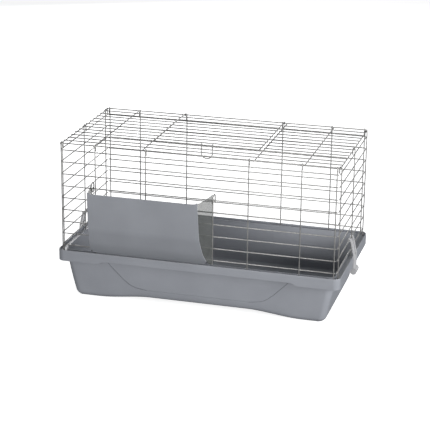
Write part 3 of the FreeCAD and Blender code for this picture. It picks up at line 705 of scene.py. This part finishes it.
def build_rack_face():
    """The opaque face: a bent sheet whose upper corners rise a little."""
    columns = [value / 20 for value in range(-20, 21)]
    columns = [-1.0, -0.985, -0.965] + columns[1:-1] + [0.965, 0.985, 1.0]
    vertices, faces = [], []
    profile = rack_profile()
    for out, height in profile:
        width = rack_half_width(out, height)
        for share in columns:
            x = share * width
            near_edge = smooth_step(width - HORN_WIDTH, width, abs(x))
            near_top = smooth_step(RACK_TOP - HORN_HEIGHT, RACK_TOP, height)
            lift = HORN_RISE * near_edge * near_top
            vertices.append((RACK_MIDDLE + x, RACK_BACK - out, height + lift))
    count = len(columns)
    for row in range(len(profile) - 1):
        for column in range(count - 1):
            corner = row * count + column
            faces.append((corner, corner + 1, corner + count + 1, corner + count))
    made = piece("rack_face_moulding", vertices, faces, "hay_rack", "rack_plastic", ("rack_face",))
    if made.data.polygons[0].normal.y > 0:
        made.data.flip_normals()
    thicken = made.modifiers.new("sheet", "SOLIDIFY")
    thicken.thickness = SHEET
    thicken.offset = -1
    soft_edges(made, width=0.9 * MM, angle=50)


def build_rack_ends():
    """Smoked end plates between the face and the hook wires."""
    profile = rack_profile()
    inner = []
    for index, point in enumerate(profile):
        after = profile[min(index + 1, len(profile) - 1)]
        before = profile[max(index - 1, 0)]
        tangent = (after - before).normalized()
        inner.append(point + Vector((tangent.y, -tangent.x)) * (SHEET - 0.2 * MM))
    inner = [point for point in inner if point.x > FOOT_OUT]
    rear_top = Vector((PLATE_BACK, RACK_TOP + 3.5 * MM))
    top = inner[0] + Vector((0, 2.5 * MM))
    curve = spline([top, top.lerp(rear_top, 0.16) - Vector((0, 2.2 * MM)),
                    top.lerp(rear_top, 0.5) - Vector((0, 2.6 * MM)), rear_top], 5)
    line = inner + [Vector((PLATE_BACK, RACK_FOOT + 1.5 * MM))] + list(reversed(curve))
    slope = Vector((SPLAY, 1.0)).normalized()
    for side, word in ((-1, "left"), (1, "right")):
        origin = RACK_MIDDLE + side * RACK_REACH
        inward = Vector((-side * slope.y, slope.x, 0))
        rings = []
        for depth, shrink in ((0.0, 0.5), (0.35, 0.1), (1.2, 0.0), (2.05, 0.1), (2.4, 0.5)):
            ring = []
            for out, height in inset_ring(line, PLATE_CENTRE, shrink * MM):
                place = Vector((origin - side * SPLAY * out, RACK_BACK - out, height))
                ring.append(place + inward * depth * MM)
            rings.append(ring)
        mesh = Mesh()
        mesh.rings(rings)
        name = f"rack_end_{word}"
        made = piece(f"{name}_moulding", mesh.vertices, mesh.faces, "hay_rack", "smoked_plastic", (name,))
        even_normals(made)


def soften_clips():
    """The clips keep their CAD shape, with rounded edges."""
    for word in ("left", "right"):
        clip = frame["nodes"][f"clip_{word}"]
        merge = clip.modifiers.new("merge", "WELD")
        merge.merge_threshold = 0.005 * MM
        soft_edges(clip, width=0.7 * MM, angle=28)


build_walls()
build_roof()
build_door()
build_door_loop()
build_rack_wires()
build_tray()
build_panel()
build_rack_face()
build_rack_ends()
soften_clips()


# ---- Floor, light and camera ----

FLOOR_REACH, BOWL_RADIUS, BOWL_TOP = 7.0, 2.0, 9.0
FLOOR_GLOW, BACKDROP_GLOW = 0.74, 1.0


def studio():
    """A pale, faintly glowing floor that curves up into a round backdrop.

    Diffuse and glossy rays don't see it, so it neither lights the cage nor shows in its reflections.
    """
    material, tree, shader = new_material("studio_floor")
    paint = ramp(tree, noise(tree, scale=3.0), (0.3, 0.88), (0.7, 0.90))
    tree.links.new(paint, shader.inputs["Base Color"])
    shader.inputs["Roughness"].default_value = 0.9
    shader.inputs["Specular IOR Level"].default_value = 0.1
    shader.inputs["Emission Color"].default_value = (1.0, 1.0, 1.0, 1)
    height = tree.nodes.new("ShaderNodeSeparateXYZ")
    place = tree.nodes.new("ShaderNodeTexCoord")
    tree.links.new(place.outputs["Object"], height.inputs["Vector"])
    glow = ramp(tree, height.outputs["Z"], (0.0, FLOOR_GLOW), (0.15, BACKDROP_GLOW))
    tree.links.new(glow, shader.inputs["Emission Strength"])
    line = [(0.5, 0.0), (FLOOR_REACH, 0.0)]
    for step in range(1, 13):
        angle = math.pi / 2 * step / 12
        rise = BOWL_RADIUS - BOWL_RADIUS * math.cos(angle)
        line.append((FLOOR_REACH + BOWL_RADIUS * math.sin(angle), rise))
    line.append((FLOOR_REACH + BOWL_RADIUS, BOWL_TOP))
    sweep_mesh = Mesh()
    turns = [2 * math.pi * step / 96 for step in range(96)]
    rings = []
    for reach, z in line:
        rings.append([Vector((reach * math.cos(turn), reach * math.sin(turn), z)) for turn in turns])
    sweep_mesh.rings(rings, caps=False)
    sweep_mesh.faces.append(tuple(range(len(turns) - 1, -1, -1)))
    mesh = bpy.data.meshes.new("studio_sweep")
    mesh.from_pydata(sweep_mesh.vertices, [], sweep_mesh.faces)
    for polygon in mesh.polygons:
        polygon.use_smooth = True
    mesh.materials.append(material)
    sweep = bpy.data.objects.new("studio_sweep", mesh)
    scene.collection.objects.link(sweep)
    sweep.visible_diffuse = False
    sweep.visible_glossy = False


def area_light(name, position, target, size, power):
    """A soft rectangular light at a position, aimed at a target; power in watts."""
    data = bpy.data.lights.new(name, "AREA")
    data.shape = "RECTANGLE"
    data.size, data.size_y = size
    data.energy = power
    lamp = bpy.data.objects.new(name, data)
    scene.collection.objects.link(lamp)
    lamp.location = position
    lamp.rotation_euler = (Vector(target) - Vector(position)).to_track_quat("-Z", "Y").to_euler()


def lights():
    area_light("front_light", (0.2, -3.8, 0.72), (0, 0, 0.25), (3.0, 0.9), 113)
    area_light("right_light", (3.0, -0.8, 0.8), (0, 0, 0.2), (1.4, 1.4), 96)
    area_light("top_light", (0.0, 0.3, 2.6), (0, 0.2, 0), (2.2, 1.8), 13)
    area_light("rear_light", (-1.8, 3.6, 1.3), (0, 0, 0.2), (2.0, 1.6), 60)
    world = bpy.data.worlds.new("studio_world")
    scene.world = world
    world.use_nodes = True
    background = world.node_tree.nodes["Background"]
    background.inputs["Color"].default_value = (0.93, 0.96, 1.0, 1)
    background.inputs["Strength"].default_value = 0.15
    scene.view_settings.view_transform = "Standard"
    scene.view_settings.look = "None"


CAMERA_PLACE = (1.1283, MIDDLE - 4.1125, 1.6744)
CAMERA_AIM = (-0.25081, 0.91284, -0.32221)
CAMERA_ROLL = 0.70  # degrees
CAMERA_LENS, SENSOR = 130.05, 36.0  # millimetres


def photo_camera():
    """The photograph's viewing angle, fitted to the cage's own corners."""
    data = bpy.data.cameras.new("photo_camera")
    data.lens = CAMERA_LENS
    data.sensor_width = SENSOR
    data.clip_end = 60.0
    camera = bpy.data.objects.new("photo_camera", data)
    scene.collection.objects.link(camera)
    camera.location = CAMERA_PLACE
    aim = Vector(CAMERA_AIM).to_track_quat("-Z", "Y").to_matrix()
    camera.rotation_euler = (aim @ Matrix.Rotation(math.radians(CAMERA_ROLL), 3, "Z")).to_euler()
    scene.camera = camera


studio()
lights()
photo_camera()
